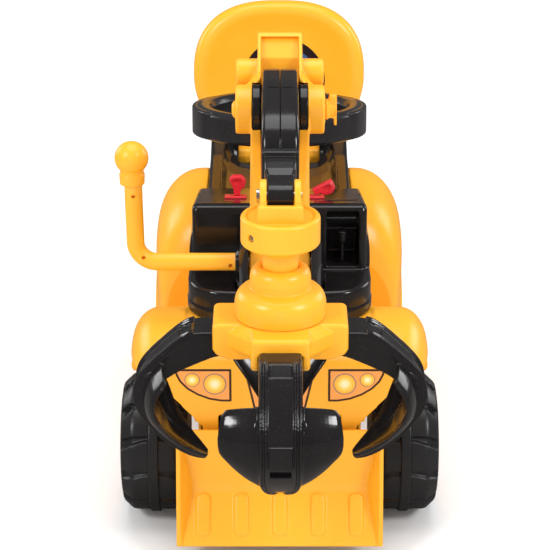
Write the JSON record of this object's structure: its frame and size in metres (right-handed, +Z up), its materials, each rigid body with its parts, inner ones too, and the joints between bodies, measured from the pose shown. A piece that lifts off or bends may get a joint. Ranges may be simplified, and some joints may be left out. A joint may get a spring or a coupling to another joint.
{
  "type": "ride-on toy digger",
  "caption": "Ride-on toy digger: wheeled body with seat and backrest, steering wheel, dozer blade, and a pivoting arm that carries a clawed grab.",
  "frame": {"origin": "on the floor below the centre of the bounding box", "axes": "+Z up, -Y towards the front of the vehicle where the blade is, +X towards the seated rider's left"},
  "size_m": [0.34, 0.8464, 0.533],
  "materials": {
    "yellow_plastic": "satin gloss moulded plastic",
    "black_plastic": "gloss moulded plastic",
    "red_plastic": "satin gloss moulded plastic",
    "steel": "zinc plated steel"
  },
  "bodies": {
    "chassis": {"body_shell": "yellow_plastic", "underframe": "black_plastic", "console": "black_plastic", "steering_column": "black_plastic", "seat": "black_plastic", "backrest": "yellow_plastic", "front_axle": "steel", "rear_axle": "steel", "axle_nut_front_left": "steel", "axle_nut_front_right": "steel", "axle_nut_rear_left": "steel", "axle_nut_rear_right": "steel", "body_screw_front_left": "steel", "body_screw_front_right": "steel", "body_screw_rear_left": "steel", "body_screw_rear_right": "steel", "blade_rod": "steel", "lever_base_left": "red_plastic", "lever_base_right": "red_plastic"},
    "wheel_assy_front_left": {"wheel_front_left": "black_plastic", "hubcap_front_left": "yellow_plastic"},
    "wheel_assy_front_right": {"wheel_front_right": "black_plastic", "hubcap_front_right": "yellow_plastic"},
    "wheel_assy_rear_left": {"wheel_rear_left": "black_plastic", "hubcap_rear_left": "yellow_plastic"},
    "wheel_assy_rear_right": {"wheel_rear_right": "black_plastic", "hubcap_rear_right": "yellow_plastic"},
    "steering": {"steering_wheel": "black_plastic"},
    "horn": {"horn_button": "yellow_plastic"},
    "dozer": {"blade": "yellow_plastic"},
    "toggle_left": {"dash_lever_left": "red_plastic"},
    "toggle_right": {"dash_lever_right": "red_plastic"},
    "slew": {"turret": "black_plastic"},
    "boom_assy": {"boom": "yellow_plastic", "boom_shaft": "steel", "lever_hub": "black_plastic", "boom_lever": "yellow_plastic", "ball_knob": "yellow_plastic", "friction_disc_left": "black_plastic", "friction_disc_right": "black_plastic", "elbow_bolt": "yellow_plastic"},
    "elbow_grip": {"elbow_knob": "yellow_plastic"},
    "stick_assy": {"stick_left": "black_plastic", "stick_right": "black_plastic", "stick_link": "black_plastic", "clevis_pin": "steel"},
    "swing_assy": {"collar": "yellow_plastic", "collar_screw": "steel"},
    "spin_assy": {"grab_neck": "yellow_plastic"},
    "hub_assy": {"grab_hub": "yellow_plastic", "grab_bell": "yellow_plastic", "claw_pin_front": "steel", "claw_pin_left": "steel", "claw_pin_rear": "steel", "claw_pin_right": "steel"},
    "claw_f": {"claw_front": "black_plastic"},
    "claw_l": {"claw_left": "black_plastic"},
    "claw_b": {"claw_rear": "black_plastic"},
    "claw_r": {"claw_right": "black_plastic"}
  },
  "joints": [
    {"name": "wheel_front_left_turn", "type": "hinge", "parent": "chassis", "child": "wheel_assy_front_left", "pos_m": [0, -0.0487, 0.077], "axis": [1, 0, 0], "continuous": true},
    {"name": "wheel_front_right_turn", "type": "hinge", "parent": "chassis", "child": "wheel_assy_front_right", "pos_m": [0, -0.0487, 0.077], "axis": [1, 0, 0], "continuous": true},
    {"name": "wheel_rear_left_turn", "type": "hinge", "parent": "chassis", "child": "wheel_assy_rear_left", "pos_m": [0, 0.2963, 0.077], "axis": [1, 0, 0], "continuous": true},
    {"name": "wheel_rear_right_turn", "type": "hinge", "parent": "chassis", "child": "wheel_assy_rear_right", "pos_m": [0, 0.2963, 0.077], "axis": [1, 0, 0], "continuous": true},
    {"name": "steering_turn", "type": "hinge", "parent": "chassis", "child": "steering", "pos_m": [0, 0.1513, 0.383], "axis": [0, 0.1305, 0.9914], "continuous": true},
    {"name": "horn_press", "type": "slide", "parent": "steering", "child": "horn", "axis": [0, -0.1305, -0.9914], "range_m": [0, 0.002]},
    {"name": "blade_lift", "type": "hinge", "parent": "chassis", "child": "dozer", "pos_m": [0, -0.1167, 0.124], "axis": [1, 0, 0], "range_deg": [-25, 0]},
    {"name": "dash_lever_left_turn", "type": "hinge", "parent": "chassis", "child": "toggle_left", "pos_m": [0.0385, 0.0563, 0.329], "axis": [0, 1, 0], "range_deg": [-64, 0]},
    {"name": "dash_lever_right_turn", "type": "hinge", "parent": "chassis", "child": "toggle_right", "pos_m": [-0.0465, 0.0563, 0.3258], "axis": [0, 1, 0], "range_deg": [-35, 35]},
    {"name": "arm_slew", "type": "hinge", "parent": "chassis", "child": "slew", "pos_m": [0, -0.0487, 0.2285], "axis": [0, 0, 1], "range_deg": [-15, 25]},
    {"name": "boom_lift", "type": "hinge", "parent": "slew", "child": "boom_assy", "pos_m": [0, -0.0487, 0.288], "axis": [1, 0, 0], "range_deg": [-20, 12]},
    {"name": "elbow_knob_turn", "type": "hinge", "parent": "boom_assy", "child": "elbow_grip", "pos_m": [0, -0.0987, 0.471], "axis": [1, 0, 0], "continuous": true},
    {"name": "stick_swing", "type": "hinge", "parent": "boom_assy", "child": "stick_assy", "pos_m": [0, -0.0987, 0.471], "axis": [1, 0, 0], "range_deg": [-25, 6]},
    {"name": "grab_swing", "type": "hinge", "parent": "stick_assy", "child": "swing_assy", "pos_m": [0, -0.2887, 0.449], "axis": [-1, 0, 0], "range_deg": [-12, 20]},
    {"name": "grab_spin", "type": "hinge", "parent": "swing_assy", "child": "spin_assy", "pos_m": [0, -0.2887, 0.404], "axis": [0, 0, 1], "continuous": true},
    {"name": "grab_open", "type": "slide", "parent": "spin_assy", "child": "hub_assy", "axis": [0, 0, 1], "range_m": [-0.01, 0.008]},
    {"name": "claw_front_open", "type": "hinge", "parent": "hub_assy", "child": "claw_f", "pos_m": [0, -0.3407, 0.312], "axis": [-1, 0, 0], "range_deg": [-24.5, 19.5]},
    {"name": "claw_left_open", "type": "hinge", "parent": "hub_assy", "child": "claw_l", "pos_m": [0.052, -0.2887, 0.312], "axis": [0, -1, 0], "range_deg": [-24.5, 19.5]},
    {"name": "claw_rear_open", "type": "hinge", "parent": "hub_assy", "child": "claw_b", "pos_m": [0, -0.2367, 0.312], "axis": [1, 0, 0], "range_deg": [-24.5, 19.5]},
    {"name": "claw_right_open", "type": "hinge", "parent": "hub_assy", "child": "claw_r", "pos_m": [-0.052, -0.2887, 0.312], "axis": [0, 1, 0], "range_deg": [-24.5, 19.5]}
  ],
  "couplings": [
    {"joint": "claw_front_open", "follows": "grab_open", "rad_per_m": 41.9},
    {"joint": "claw_left_open", "follows": "grab_open", "rad_per_m": 41.9},
    {"joint": "claw_rear_open", "follows": "grab_open", "rad_per_m": 41.9},
    {"joint": "claw_right_open", "follows": "grab_open", "rad_per_m": 41.9}
  ]
}
